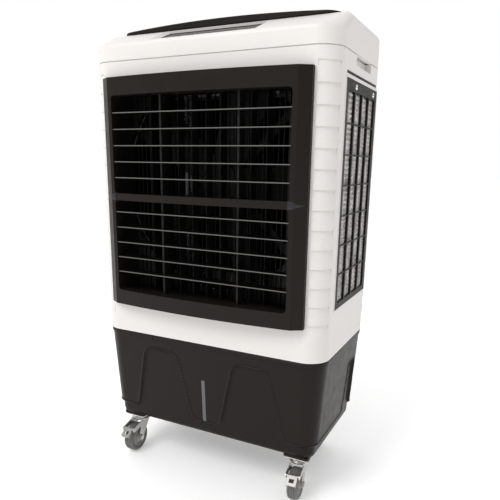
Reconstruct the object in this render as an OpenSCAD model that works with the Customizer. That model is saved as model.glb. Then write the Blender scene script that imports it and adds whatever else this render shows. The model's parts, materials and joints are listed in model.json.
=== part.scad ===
// Evaporative cooler on casters: a water tank, a ribbed cabinet with three wet pads, an axial
// fan behind swinging louvres, and a hinged door over the fill opening in the top cover.
// Origin at floor level in the middle of the whole footprint, +Z up, air outlet towards -Y.

/* [Cabinet] */
// Cabinet width, side to side
cab_w = 600; // [590:5:620]
// Cabinet depth, front face to rear face
cab_d = 350; // [350:5:370]
// Radius of the upright corners
corner_r = 50; // [46:1:54]
// Height of the cabinet's lower edge above the floor
cab_z0 = 354; // [350:1:358]
// Height of the seam between cabinet and top cover
seam_z = 994; // [990:1:998]
// Wall thickness of the cabinet and top cover
wall = 4; // [3:0.5:5]
// Number of board-like courses on each corner
rib_count = 14; // [10:1:16]
// Height of one course
rib_pitch = 40.7; // [30:0.1:41]
// Height of the lowest course's lower edge
rib_z0 = 399; // [396:1:402]

/* [Top cover] */
// Height of the soft edge where the front face turns into the slope
lid_edge_z = 1031; // [1026:1:1034]
// Height of the flat deck
deck_z = 1068; // [1064:1:1072]
// Distance from the front face to the top of the slope
slope_run = 87; // [80:1:92]
// Height of the door's crown above the deck
door_crown = 14; // [12:1:18]
// Half the width of the door
door_hw = 272; // [264:1:276]

/* [Water tank] */
// Height of the tank's underside above the floor
tank_z0 = 109; // [107:1:111]
// How much the tank draws in on each side towards its base
tank_taper = 15; // [13:1:18]
// Depth of the wave-shaped relief in the tank walls
relief = 5; // [3:0.5:6]
// Thickness of the tank walls behind the relief
tank_wall = 4; // [3:0.5:5]

/* [Air outlet] */
// Half the width of the bezel
bezel_hw = 256; // [252:1:257]
// Lowest edge of the bezel
bezel_z0 = 432; // [430:1:434]
// Highest edge of the bezel
bezel_z1 = 957; // [955:1:959]
// How far the bezel stands proud of the cabinet at its middle
bezel_bow = 38; // [36:1:40]
// Half the width of the outlet openings
outlet_hw = 222; // [220:1:223]
// Lower edge of the lower opening
outlet_z0 = 468; // [466:1:470]
// Upper edge of the upper opening
outlet_z1 = 918; // [916:1:920]
// Height of the bar between the two openings
divider_h = 16; // [12:1:18]
// Distance between neighbouring horizontal blades
blade_pitch = 36; // [35:0.5:37]
// Distance between neighbouring upright vanes
vane_pitch = 37; // [34:0.5:40]

/* [Fan] */
// Inner radius of the fan duct
duct_r = 250; // [240:1:251]
// Height of the fan's axis
fan_z = 729; // [726:1:732]
// Number of fan blades
fan_blades = 5; // [3:1:7]

/* [Pads] */
// Thickness of the wet pads
pad_t = 38; // [30:1:38]
// Height of the middle of the pad openings
pad_z = 703.5; // [700:0.5:706]
// Height of the pad openings
pad_h = 481; // [470:1:486]
// Width of the side pad openings
side_pad_w = 246; // [230:1:248]
// Width of the rear pad opening
rear_pad_w = 424; // [380:1:426]

/* [Casters] */
// Wheel radius
wheel_r = 37.5; // [36:0.5:38]
// Wheel width
wheel_w = 26; // [22:1:28]
// Distance of each front swivel axis from the middle plane
caster_x = 236; // [228:1:238]
// Distance of each rear swivel axis from the middle plane
rear_caster_x = 212; // [200:1:238]
// Distance of each swivel axis in front of and behind the cabinet's middle
caster_y = 116; // [110:1:118]
// Horizontal distance from swivel axis to axle
trail = 28; // [24:1:30]

/* [Hidden] */
$fn = 64;
hull_fn = 32;

// Colours
white_c = [0.93, 0.91, 0.89];
black_c = [0.12, 0.11, 0.10];
brown_c = [0.18, 0.16, 0.15];
steel_c = [0.75, 0.75, 0.76];
pad_c = [0.62, 0.56, 0.52];

// The water inlet's thread reaches this far behind the cabinet, and the whole model is moved
// so that its footprint is centred on the origin.
inlet_reach = 14;
y_shift = (bezel_bow - inlet_reach) / 2;
fit = 0.05;                    // radial clearance of every pin in its bore
gap = 0.3;                     // clearance between pieces that only lie close together
yf = -cab_d / 2;               // front face of the cabinet
yb = cab_d / 2;                // rear face of the cabinet
cab_z1 = seam_z - 0.5;         // top edge of the cabinet wall
lid_z0 = seam_z + 1.5;         // lower edge of the top cover
slope = atan((deck_z - lid_edge_z) / slope_run);

// Outlet
divider_z = (outlet_z0 + outlet_z1) / 2;
upper_blade_z = 737;           // lowest blade of the upper opening
lower_blade_z = 513.5;         // lowest blade of the lower opening
blades_per_opening = 5;
blade_axis_y = yf - 12;        // pivot line of the horizontal blades
blade_front = 12;              // blade edge ahead of its pivot
blade_back = 18;               // blade edge behind its pivot
blade_t = 2.4;
crank = 12;                    // lever arm from pivot to tie bar
tie_x = 212;                   // middle of the tie bar
tie_t = 3;
mullion_x = 98;
vane_axis_y = yf + 36;
vane_half = 14;                // half the chord of a vane
vane_crank = 11;
vane_count = 9;
frame_hw = 229;                // louvre frame, half width outside
frame_wall = 5;
frame_z0 = outlet_z0 - 9;
frame_z1 = outlet_z1 + 9;
frame_back = yf + 55;
pin_r = 2;

// Fan and duct
duct_y0 = yf + 57;             // front face of the duct plate
duct_y1 = yf + 132;            // rear edge of the duct
fan_y = yf + 99;               // middle of the fan
fan_r = duct_r - 5;
shaft_r = 6;

// Tank
tank_z1 = cab_z0 - 2;
lip_h = 10;
tank_in = 3;                   // tank wall sits this far inside the lip
tank_foot_h = 10;              // height of the rounded edge round the underside
tank_foot_in = 5;              // how far that edge draws in
wave_z = 141;                  // wave line at the feet
arch_z = 314;                  // top of the arches
wave_r = 20;

// Pads and grilles
side_pad_y = 10;               // middle of the side pads, behind the cabinet's middle
grille_t = 5;
grille_proud = 0.5;
header_h = 22;
border = 13;

// Casters
plate_z = 98;
// Each caster: place of its swivel axis, then the way its wheel trails, in degrees from +X
casters = [[-caster_x, -caster_y, -88], [caster_x, -caster_y, -84],
    [-rear_caster_x, caster_y, 10], [rear_caster_x, caster_y, 172]];
king_r = 6;
axle_r = 4;
pedal_u = 28;                  // pedal pivot beyond the axle
pedal_h = 33.5;                // pedal pivot above the axle
pedal_pin_r = 2.5;

// Shared helpers

module placed() {
    translate([0, y_shift, 0]) children();
}

// Rectangle with round corners, centred
module rounded_rect(w, d, r) {
    square([w - 2 * r, d], center = true);
    square([w, d - 2 * r], center = true);
    for (sx = [-1, 1], sy = [-1, 1])
        translate([sx * (w / 2 - r), sy * (d / 2 - r)]) circle(r);
}

// Stands a flat outline up, facing -Y, and gives it a depth from y0 to y1
module upright(y0, y1) {
    translate([0, y1, 0]) rotate([90, 0, 0]) linear_extrude(y1 - y0) children();
}

// Runs a side outline drawn in (y, z) along X from x0 to x1
module along_x(x0, x1) {
    translate([x0, 0, 0]) rotate([90, 0, 90]) linear_extrude(x1 - x0) children();
}

// A pin along X, Y or Z from one coordinate to the next
module pin_x(x0, x1, y, z, r) {
    translate([x0, y, z]) rotate([0, 90, 0]) cylinder(h = x1 - x0, r = r);
}

module pin_y(y0, y1, x, z, r) {
    translate([x, y1, z]) rotate([90, 0, 0]) cylinder(h = y1 - y0, r = r);
}

module pin_z(z0, z1, x, y, r) {
    translate([x, y, z0]) cylinder(h = z1 - z0, r = r);
}

module block(x0, x1, y0, y1, z0, z1) {
    translate([x0, y0, z0]) cube([x1 - x0, y1 - y0, z1 - z0]);
}

// Repeats a piece made for the +X +Y corner at all four corners
module at_corners() {
    for (mx = [0, 1], my = [0, 1])
        mirror([mx, 0, 0]) mirror([0, my, 0])
            translate([cab_w / 2 - corner_r, cab_d / 2 - corner_r, 0]) children();
}

// Cabinet

rib_from = 17.5;               // angles of the ribbed panel on the corner
rib_to = 77.3;
rib_out = corner_r + 1;
rib_in = corner_r - 2.4;
rib_root = corner_r - 3.2;

module rib_outline() {
    polygon([
        [rib_root, rib_z0],
        for (i = [0 : rib_count - 1], p = [
            [rib_out, rib_z0 + i * rib_pitch],
            [rib_out, rib_z0 + (i + 0.45) * rib_pitch],
            [rib_in, rib_z0 + (i + 1) * rib_pitch]]) p,
        [rib_root, rib_z0 + rib_count * rib_pitch]]);
}

module corner_ribs() {
    at_corners() rotate([0, 0, rib_from])
        rotate_extrude(angle = rib_to - rib_from) rib_outline();
}

module rib_pockets() {
    at_corners() rotate([0, 0, rib_from]) rotate_extrude(angle = rib_to - rib_from)
        translate([rib_root, rib_z0])
            square([rib_out - rib_root + 1, rib_count * rib_pitch]);
}

rim_w = 3.5;
rim_proud = 1;

module pad_rim(w) {
    upright(-rim_proud, wall) translate([0, pad_z]) difference() {
        rounded_rect(w + 2 * rim_w, pad_h + 2 * rim_w, 6);
        square([w, pad_h], center = true);
    }
}

module pad_cut(w) {
    upright(-wall, 2 * wall) translate([0, pad_z]) square([w, pad_h], center = true);
}

// Puts something made facing -Y on the right, left or rear wall
module on_right(y) {
    translate([cab_w / 2, y, 0]) rotate([0, 0, 90]) children();
}

module on_left(y) {
    mirror([1, 0, 0]) on_right(y) children();
}

module on_rear() {
    translate([0, yb, 0]) rotate([0, 0, 180]) children();
}

grip_y0 = -48;
grip_y1 = 68;
grip_h = 20;
grip_depth = 14;
groove_z = 951;
groove_h = 6;
groove_depth = 2.5;

module grip_body() {
    x0 = cab_w / 2 - grip_depth - wall;
    block(x0, cab_w / 2 - wall + 1, grip_y0 - wall, grip_y1 + wall, cab_z1 - grip_h - wall, cab_z1);
}

module grip_cut() {
    block(cab_w / 2 - grip_depth, cab_w / 2 + 5, grip_y0, grip_y1, cab_z1 - grip_h, cab_z1 + 1);
}

module groove_cut() {
    block(cab_w / 2 - groove_depth, cab_w / 2 + 5, side_pad_y - 122, side_pad_y + 115,
        groove_z, groove_z + groove_h);
}

module cabinet_shell() color(white_c) placed() difference() {
    union() {
        difference() {
            translate([0, 0, cab_z0]) linear_extrude(cab_z1 - cab_z0) difference() {
                rounded_rect(cab_w, cab_d, corner_r);
                rounded_rect(cab_w - 2 * wall, cab_d - 2 * wall, corner_r - wall);
            }
            rib_pockets();
        }
        corner_ribs();
        on_right(side_pad_y) pad_rim(side_pad_w);
        on_left(side_pad_y) pad_rim(side_pad_w);
        on_rear() pad_rim(rear_pad_w);
        grip_body();
        mirror([1, 0, 0]) grip_body();
        pin_y(yb - boss_len, yb, inlet_x, inlet_z, 15);
    }
    pin_y(yb - boss_len - 1, yb + 1, inlet_x, inlet_z, inlet_r + fit);
    on_right(side_pad_y) pad_cut(side_pad_w);
    on_left(side_pad_y) pad_cut(side_pad_w);
    on_rear() pad_cut(rear_pad_w);
    block(-frame_hw - gap, frame_hw + gap, yf - 1, yf + wall + 1, frame_z0 - gap, frame_z1 + gap);
    grip_cut();
    mirror([1, 0, 0]) grip_cut();
    groove_cut();
    mirror([1, 0, 0]) groove_cut();
    pin_y(yb - wall - 1, yb + 1, gland_x, gland_z, gland_r);
    screw_places() pin_z(-wall - 1, 1, 0, 0, screw_r);
}

// Top cover

edge_r = 10;                   // soft front edge
top_r = 17;                    // side and rear top edges
roll_fn = 40;
hinge_y = yb - 16;
hinge_z = deck_z + 7;
hinge_x = 200;
hinge_pin_r = 3;
fill_hw = 130;
fill_y0 = 92;
fill_y1 = 150;
panel_hw = 123;
panel_x = -9;                  // the panel lies a little left of the middle
panel_flare = 7;               // the recess is this much wider at the surface, on each side
panel_u0 = 12;                 // control panel, distances up the slope
panel_u1 = 88;
panel_drop = 6;                // panel face below the slope

// One rolled corner of the cover, drawn t inside its outer surface
module rolled_corner(x, y, z, r, t) {
    translate([x, y, z]) rotate_extrude($fn = roll_fn) intersection() {
        translate([corner_r - r, 0]) circle(r - t, $fn = roll_fn);
        translate([0, -r]) square([corner_r, 2 * r]);
    }
}

// The cover's outer form, drawn t inside its surface and open-ended below z0
module cover_form(t, z0) {
    turn = 90 - slope;
    cx = cab_w / 2 - corner_r;
    hull() {
        translate([0, 0, z0]) linear_extrude(1)
            rounded_rect(cab_w - 2 * t, cab_d - 2 * t, corner_r - t, $fn = roll_fn);
        for (s = [-1, 1]) {
            rolled_corner(s * cx, yf + corner_r, lid_edge_z - edge_r * tan(turn / 2), edge_r, t);
            rolled_corner(s * cx, yb - corner_r, deck_z - top_r, top_r, t);
            translate([s * (cab_w / 2 - top_r), yf + slope_run + top_r * tan(slope / 2),
                deck_z - top_r]) sphere(top_r - t, $fn = roll_fn);
        }
    }
}

// Works in the plane of the slope: y runs up the slope, z stands off it
module on_slope() {
    translate([0, yf, lid_edge_z]) rotate([slope, 0, 0]) children();
}

module panel_outline(grow) {
    translate([panel_x, (panel_u0 + panel_u1) / 2])
        square([2 * (panel_hw + grow), panel_u1 - panel_u0 + 2 * grow], center = true);
}

module hinge_lug(x0, x1) {
    block(x0, x1, hinge_y - 6, hinge_y + 6, deck_z - 2, hinge_z);
    pin_x(x0, x1, hinge_y, hinge_z, 6);
}

module top_cover() color(white_c) placed() {
    tongue = wall + 0.4;
    seam_in = wall - 0.8;      // floor of the seam groove, inside the outer face
    difference() {
        union() {
            difference() {
                cover_form(0, lid_z0);
                cover_form(wall, lid_z0 - 1);
            }
            on_slope() translate([0, 0, -18]) linear_extrude(15) panel_outline(panel_flare + 2);
        }
        on_slope() translate([0, 0, -panel_drop - 3]) linear_extrude(panel_drop + 4)
            panel_outline(0);
        on_slope() translate([panel_x, panel_u1, 0]) rotate([90, 0, 0])
            linear_extrude(panel_u1 - panel_u0) polygon([
                [-panel_hw, -panel_drop], [panel_hw, -panel_drop],
                [panel_hw + panel_flare, 0], [panel_hw + panel_flare, 10],
                [-panel_hw - panel_flare, 10], [-panel_hw - panel_flare, 0]]);
        on_slope() translate([0, 0, -30]) linear_extrude(40) panel_outline(-3);
        block(-fill_hw, fill_hw, fill_y0, fill_y1, deck_z - 2 * wall, deck_z + 1);
    }
    difference() {
        translate([0, 0, lid_z0 - 14]) linear_extrude(26) difference() {
            rounded_rect(cab_w - 2 * tongue, cab_d - 2 * tongue, corner_r - tongue);
            rounded_rect(cab_w - 2 * tongue - 5, cab_d - 2 * tongue - 5, corner_r - tongue - 2.5);
            for (s = [-1, 1]) translate([s * cab_w / 2, (grip_y0 + grip_y1) / 2])
                square([60, grip_y1 - grip_y0 + 20], center = true);
        }
        screw_places() pin_z(-12, 1, 0, 0, screw_r);
    }
    translate([0, 0, cab_z1]) linear_extrude(14) difference() {
        rounded_rect(cab_w - 2 * seam_in, cab_d - 2 * seam_in, corner_r - seam_in);
        rounded_rect(cab_w - 2 * tongue - 1, cab_d - 2 * tongue - 1, corner_r - tongue - 0.5);
    }
    for (s = [0, 1]) mirror([s, 0, 0]) block(cab_w / 2 - grip_depth - wall, cab_w / 2 - wall + 1,
        grip_y0 - wall, grip_y1 + wall, lid_z0, lid_z0 + 3);
    for (s = [-1, 1]) {
        hinge_lug(s * hinge_x - 8, s * hinge_x - 3);
        hinge_lug(s * hinge_x + 3, s * hinge_x + 8);
        pin_x(s * hinge_x - 8, s * hinge_x + 8, hinge_y, hinge_z, hinge_pin_r);
    }
}

door_y0 = yf + slope_run - 5;
door_y1 = yb - 25;
door_r = 30;
door_z0 = deck_z + 0.5;
door_edge = 3;                 // thickness of the door at its left and right ends
door_rim = 12;                 // solid border round the hollow under the door

// Crowned outline of the door, t inside its top and side_t inside its ends
module door_outline(t, side_t) {
    rise = door_crown - 0.5 - door_edge;
    bow_r = (door_hw * door_hw + rise * rise) / (2 * rise);
    intersection() {
        translate([0, deck_z + door_crown - bow_r]) circle(bow_r - t, $fn = 256);
        translate([-door_hw + side_t, door_z0 - 1]) square([2 * (door_hw - side_t), 40]);
    }
}

module top_door() color(black_c) placed() {
    difference() {
        intersection() {
            upright(door_y0 - 1, door_y1 + 1) door_outline(0, -1);
            translate([0, (door_y0 + door_y1) / 2, door_z0]) linear_extrude(40)
                rounded_rect(2 * door_hw, door_y1 - door_y0, door_r);
        }
        upright(door_y0 + door_rim, door_y1 - door_rim) door_outline(2.5, door_rim + 2);
    }
    for (s = [-1, 1]) difference() {
        union() {
            block(s * hinge_x - 2.7, s * hinge_x + 2.7, door_y1 - 4, hinge_y, hinge_z - 4, hinge_z);
            pin_x(s * hinge_x - 2.7, s * hinge_x + 2.7, hinge_y, hinge_z, 6);
        }
        pin_x(s * hinge_x - 9, s * hinge_x + 9, hinge_y, hinge_z, hinge_pin_r + fit);
    }
}

// Control panel

button_u = 46;
button_r = 8;
display_x = 22;
box_hw = 104;                  // half the width of the box behind the panel

module button_spots() {
    for (x = [-88, -52, 88]) translate([x, button_u]) children();
}

module control_panel() color("silver") placed() on_slope() difference() {
    union() {
        translate([0, 0, -panel_drop - 3]) linear_extrude(3) panel_outline(-gap);
        translate([-box_hw, 22, -34]) cube([2 * box_hw, 56, 34 - panel_drop - 1]);
    }
    translate([-box_hw + 4, 26, -31]) cube([2 * box_hw - 8, 48, 31 - panel_drop - 3]);
    translate([0, 0, -panel_drop - 4]) linear_extrude(6) button_spots() circle(button_r + fit);
    translate([display_x - 36, 32, -panel_drop - 1]) cube([72, 28, 5]);
}

module panel_button(x) {
    color("dimgray") placed() on_slope() translate([x, button_u, 0]) {
        translate([0, 0, -panel_drop - 8]) cylinder(h = 10, r = button_r);
        translate([0, 0, -panel_drop - 10]) cylinder(h = 2.5, r = button_r + 2);
    }
}

// Front bezel

bezel_edge = 10;               // thickness at the left and right ends
bevel_w = 24;                  // width of the slanted border
bevel_y = 25;                  // height of the front face where the border starts
bezel_wall = 3;

// Plan outline of the bezel, t inside its surface, front towards -Y
module bezel_plan(t) {
    hw = bezel_hw - bevel_w;
    rise = bezel_bow - bevel_y;
    bow_r = (hw * hw + rise * rise) / (2 * rise);
    polygon([
        [-bezel_hw + t, yf + t], [bezel_hw - t, yf + t],
        [bezel_hw - t, yf - bezel_edge + t / 2], [hw - t / 3, yf - bevel_y + t],
        [-hw + t / 3, yf - bevel_y + t], [-bezel_hw + t, yf - bezel_edge + t / 2]]);
    intersection() {
        translate([0, yf - bezel_bow + bow_r]) circle(bow_r - t, $fn = 512);
        translate([-hw + t / 3, yf - bezel_bow - 1])
            square([2 * (hw - t / 3), bezel_bow - bevel_y + 1 + t]);
    }
}

module bezel_opening(z0, z1, r, hw) {
    upright(yf - bezel_bow - 5, yf + 1)
        translate([0, (z0 + z1) / 2]) rounded_rect(2 * hw, z1 - z0, r);
}

divider_back = yf - 15;
socket_wall = 5;

module front_bezel() color(black_c) placed() difference() {
    union() {
        difference() {
            translate([0, 0, bezel_z0]) linear_extrude(bezel_z1 - bezel_z0) bezel_plan(0);
            translate([0, 0, bezel_z0 + bezel_wall])
                linear_extrude(bezel_z1 - bezel_z0 - 2 * bezel_wall) bezel_plan(bezel_wall);
            block(-bezel_hw + bezel_wall, bezel_hw - bezel_wall, yf - bezel_wall - 1, yf + 1,
                bezel_z0 + bezel_wall, bezel_z1 - bezel_wall);
        }
        intersection() {
            translate([0, 0, bezel_z0]) linear_extrude(bezel_z1 - bezel_z0) bezel_plan(0);
            block(-outlet_hw - socket_wall, outlet_hw + socket_wall, yf - bezel_bow, yf,
                outlet_z0 - socket_wall, outlet_z1 + socket_wall);
        }
    }
    bezel_opening(divider_z + divider_h / 2, outlet_z1, 8, outlet_hw);
    bezel_opening(outlet_z0, divider_z - divider_h / 2, 8, outlet_hw);
    block(-outlet_hw, outlet_hw, divider_back, yf + 1, outlet_z0 + 20, outlet_z1 - 20);
    for (z = blade_heights())
        pin_x(-outlet_hw - 10, outlet_hw + 10, blade_axis_y, z, pin_r + fit);
}

// Horizontal blades

function blade_heights() = [
    for (z0 = [lower_blade_z, upper_blade_z], i = [0 : blades_per_opening - 1])
        z0 + i * blade_pitch];

module blade(n) {
    z = blade_heights()[n - 1];
    len = outlet_hw - 0.8;
    color(black_c) placed() {
        difference() {
            along_x(-len, len) translate([blade_axis_y, z]) {
                translate([-blade_front + blade_t / 2, -blade_t / 2])
                    square([blade_front + blade_back - blade_t, blade_t]);
                translate([-blade_front + blade_t / 2, 0]) circle(blade_t / 2);
                translate([blade_back - blade_t / 2, 0]) circle(blade_t / 2);
            }
            for (s = [-1, 1]) block(s * mullion_x - 5, s * mullion_x + 5,
                blade_axis_y - 4, blade_axis_y + 30, z - 3, z + 3);
            block(tie_x - 4, tie_x + 4, blade_axis_y + crank - 6, blade_axis_y + 30, z - 3, z + 3);
        }
        pin_x(tie_x - 4.5, tie_x + 4.5, blade_axis_y + crank, z, pin_r);
        pin_x(-outlet_hw - 4.5, -len + 2, blade_axis_y, z, pin_r);
        pin_x(len - 2, outlet_hw + 4.5, blade_axis_y, z, pin_r);
    }
}

module blade_tie_bar() color(black_c) placed() {
    heights = blade_heights();
    y = blade_axis_y + crank;
    difference() {
        block(tie_x - tie_t / 2, tie_x + tie_t / 2, y - 3.5, y + 3.5,
            heights[0] - 6, heights[len(heights) - 1] + 6);
        for (z = heights) pin_x(tie_x - 5, tie_x + 5, y, z, pin_r + fit);
    }
}

// Louvre frame with its mullions and rear guard

guard_pitch = 12;
guard_count = 36;

module louvre_frame() color(black_c) placed() {
    inner = frame_hw - frame_wall;
    difference() {
        upright(yf, frame_back) translate([0, (frame_z0 + frame_z1) / 2]) difference() {
            square([2 * frame_hw, frame_z1 - frame_z0], center = true);
            square([2 * inner, frame_z1 - frame_z0 - 2 * frame_wall], center = true);
        }
        for (x = vane_places()) pin_z(frame_z0 - 1, frame_z1 + 1, x, vane_axis_y, pin_r + fit);
    }
    for (s = [-1, 1]) {
        block(s * mullion_x - 2.5, s * mullion_x + 2.5, blade_axis_y + 1, yf + 2,
            outlet_z0 + gap, outlet_z1 - gap);
        block(s * mullion_x - 2.5, s * mullion_x + 2.5, yf + 1, yf + 12,
            frame_z0 + frame_wall - 1, frame_z1 - frame_wall + 1);
    }
    for (i = [0 : guard_count - 1]) {
        x = (i - (guard_count - 1) / 2) * guard_pitch;
        block(x - 1, x + 1, frame_back - 3, frame_back,
            frame_z0 + frame_wall - 1, frame_z1 - frame_wall + 1);
    }
}

// Upright vanes

function vane_places() = [for (i = [1 : vane_count]) (i - (vane_count + 1) / 2) * vane_pitch];

notch_z0 = divider_z - 5;
notch_z1 = divider_z + 5;
swing_pin = 8;                 // the first vane's pin reaches into the swing motor

module vane(n) {
    x = vane_places()[n - 1];
    z0 = frame_z0 + frame_wall + 0.8;
    z1 = frame_z1 - frame_wall - 0.8;
    top = frame_z1 - 0.5 + (n == 1 ? swing_pin : 0);
    color(black_c) placed() {
        difference() {
            translate([x, vane_axis_y, z0]) linear_extrude(z1 - z0) {
                square([blade_t, 2 * vane_half - blade_t], center = true);
                for (s = [-1, 1]) translate([0, s * (vane_half - blade_t / 2)])
                    circle(blade_t / 2);
            }
            block(x - 3, x + 3, vane_axis_y + vane_crank - 5.5, vane_axis_y + 30,
                notch_z0, notch_z1);
        }
        pin_z(notch_z0 - 0.5, notch_z1 + 0.5, x, vane_axis_y + vane_crank, pin_r);
        pin_z(frame_z0 + 0.5, z0 + 2, x, vane_axis_y, pin_r);
        pin_z(z1 - 2, top, x, vane_axis_y, pin_r);
    }
}

module vane_link() color(black_c) placed() {
    xs = vane_places();
    y = vane_axis_y + vane_crank;
    difference() {
        block(xs[0] - 6, xs[vane_count - 1] + 6, y - 3, y + 3, divider_z - 1.5, divider_z + 1.5);
        for (x = xs) pin_z(divider_z - 5, divider_z + 5, x, y, pin_r + fit);
    }
}

module swing_motor() color("silver") placed() {
    x = vane_places()[0];
    difference() {
        union() {
            pin_z(frame_z1, frame_z1 + 15, x, vane_axis_y, 18);
            block(x - 27, x + 27, vane_axis_y - 5, vane_axis_y + 5, frame_z1, frame_z1 + 2);
            block(x - 9, x + 9, vane_axis_y - 20, vane_axis_y - 10, frame_z1 + 2, frame_z1 + 15);
        }
        pin_z(frame_z1 - 1, frame_z1 + swing_pin + 1, x, vane_axis_y, pin_r + fit);
    }
}

// Fan, duct and motor

arm_w = 18;
arm_t = 5;
motor_r = 60;
motor_len = 80;

module fan_shroud() color(black_c) placed() {
    plate_hw = cab_w / 2 - wall;
    difference() {
        union() {
            block(-plate_hw, plate_hw, duct_y0, duct_y0 + 3, cab_z0 + 26, seam_z - 16);
            pin_y(duct_y0, duct_y1, 0, fan_z, duct_r + 3);
        }
        pin_y(duct_y0 - 1, duct_y1 + 1, 0, fan_z, duct_r);
    }
    difference() {
        union() {
            pin_y(duct_y1 - arm_t, duct_y1, 0, fan_z, motor_r + 6);
            intersection() {
                for (a = [45, 135]) translate([0, duct_y1 - arm_t, fan_z]) rotate([0, a, 0])
                    translate([-duct_r - 1, 0, -arm_w / 2]) cube([2 * duct_r + 2, arm_t, arm_w]);
                pin_y(duct_y1 - arm_t, duct_y1, 0, fan_z, duct_r + 1);
            }
        }
        pin_y(duct_y1 - arm_t - 1, duct_y1 + 1, 0, fan_z, 26);
    }
}

module fan_motor() color(steel_c) placed() {
    pin_y(duct_y1, duct_y1 + motor_len, 0, fan_z, motor_r);
    pin_y(duct_y1 + motor_len, duct_y1 + motor_len + 8, 0, fan_z, 24);
    pin_y(duct_y1 - arm_t, duct_y1, 0, fan_z, 24);
    pin_y(fan_y - 24, duct_y1, 0, fan_z, shaft_r);
    block(-22, 22, duct_y1 + 15, duct_y1 + 60, fan_z + motor_r - 6, fan_z + motor_r + 16);
}

blade_tilt = 25;
hub_r = 46;
fan_t = 2.5;                   // thickness of the fan blades

module fan() color(black_c) placed() {
    difference() {
        union() {
            pin_y(fan_y - 18, fan_y + 18, 0, fan_z, hub_r);
            intersection() {
                for (i = [0 : fan_blades - 1])
                    translate([0, fan_y, fan_z]) rotate([0, i * 360 / fan_blades, 0])
                        rotate([blade_tilt, 0, 0]) translate([0, fan_t / 2, 0])
                            rotate([90, 0, 0]) linear_extrude(fan_t) polygon([
                                [0, -32], [fan_r + 4, -54], [fan_r + 4, 54], [0, 32]]);
                pin_y(fan_y - 40, fan_y + 40, 0, fan_z, fan_r);
            }
        }
        pin_y(fan_y - 50, fan_y + 50, 0, fan_z, shaft_r + fit);
    }
}

// Pads and grilles, made facing -Y with the outer face of the wall at y = 0

module grille(w, cols) {
    frame_w = w - 1;
    frame_h = pad_h - 1;
    slot_w = (frame_w - 2 * border) / cols;
    bar = 7;
    slot_z0 = pad_z - frame_h / 2 + border;
    slot_z1 = pad_z + frame_h / 2 - header_h;
    rows = 7;
    screw_z = pad_z + frame_h / 2 - header_h / 2;
    difference() {
        upright(-grille_proud, grille_t - grille_proud) difference() {
            translate([0, pad_z]) rounded_rect(frame_w, frame_h, 4);
            for (i = [0 : cols - 1])
                translate([-frame_w / 2 + border + i * slot_w + bar / 2, slot_z0])
                    square([slot_w - bar, slot_z1 - slot_z0]);
        }
        for (x = latch_places(w)) block(x - 8, x + 8, -1, 2.5, screw_z - 6, screw_z + 6);
    }
    for (j = [1 : rows - 1]) {
        z = slot_z0 + j * (slot_z1 - slot_z0) / rows;
        block(-frame_w / 2 + border - 1, frame_w / 2 - border + 1, 0.5, 3.5, z - 1.5, z + 1.5);
    }
    for (x = latch_places(w)) difference() {
        pin_y(0.2, 3, x, screw_z, 4.5);
        block(x - 5, x + 5, 0, 1, screw_z - 0.6, screw_z + 0.6);
    }
}

function latch_places(w) = w > 300 ? [-140, 140] : [-48, 94];

module pad(w) {
    block(-w / 2 + 3, w / 2 - 3, grille_t - grille_proud, grille_t - grille_proud + pad_t,
        pad_z - pad_h / 2 + 3, pad_z + pad_h / 2 - 3);
}

module right_grille() color(black_c) placed() on_right(side_pad_y) grille(side_pad_w, 4);
module left_grille() color(black_c) placed() on_left(side_pad_y) grille(side_pad_w, 4);
module rear_grille() color(black_c) placed() on_rear() grille(rear_pad_w, 7);
module right_pad() color(pad_c) placed() on_right(side_pad_y) pad(side_pad_w);
module left_pad() color(pad_c) placed() on_left(side_pad_y) pad(side_pad_w);
module rear_pad() color(pad_c) placed() on_rear() pad(rear_pad_w);

// Water circuit

pump_x = -215;
pump_y = 100;
riser_r = 8;
feed_z0 = 945;
feed_h = 24;

// Plan of the U-shaped tray over the pads, t inside its outer walls
module feed_plan(t) {
    x1 = cab_w / 2 - wall - t;
    y1 = yb - wall - t;
    polygon([
        [-x1, -112 + t], [-248 - t, -112 + t], [-248 - t, 86 + t], [248 + t, 86 + t],
        [248 + t, -112 + t], [x1, -112 + t], [x1, yb - 54], [250 - t, y1], [-250 + t, y1],
        [-x1, yb - 54]]);
}

module water_feed() color("gainsboro") placed() {
    difference() {
        translate([0, 0, feed_z0]) linear_extrude(feed_h) feed_plan(0);
        translate([0, 0, feed_z0 + 3]) linear_extrude(feed_h) feed_plan(2.5);
        pin_z(feed_z0 - 1, feed_z0 + 5, pump_x, pump_y, riser_r + fit);
        for (s = [-1, 1], i = [0 : 5]) pin_z(feed_z0 - 1, feed_z0 + 5, s * 272, -90 + i * 40, 2);
        for (i = [-3 : 3]) pin_z(feed_z0 - 1, feed_z0 + 5, i * 55, yb - 28, 2);
    }
    difference() {
        pin_z(pump_top, feed_z0 + 12, pump_x, pump_y, riser_r);
        pin_z(pump_top - 1, feed_z0 + 13, pump_x, pump_y, riser_r - 2);
    }
}

pump_top = tank_z0 + tank_wall + 50;

module water_pump() color("darkslategray") placed() {
    z0 = tank_z0 + tank_wall + relief;
    difference() {
        union() {
            pin_z(z0, pump_top - 12, pump_x, pump_y, 28);
            pin_z(pump_top - 12, pump_top, pump_x, pump_y, 12);
            block(pump_x + 20, pump_x + 40, pump_y - 14, pump_y + 14, z0, z0 + 26);
        }
        pin_z(pump_top - 8, pump_top + 1, pump_x, pump_y, riser_r - 2);
    }
}

inlet_x = 268;
inlet_z = 370;
inlet_r = 10.4;
boss_len = 22;
arm_y = yb - 50;
arm_z = inlet_z - 6;
arm_drop = 28;                 // the arm hangs this many degrees below level
arm_len = 76;
float_r = 16;

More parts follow.
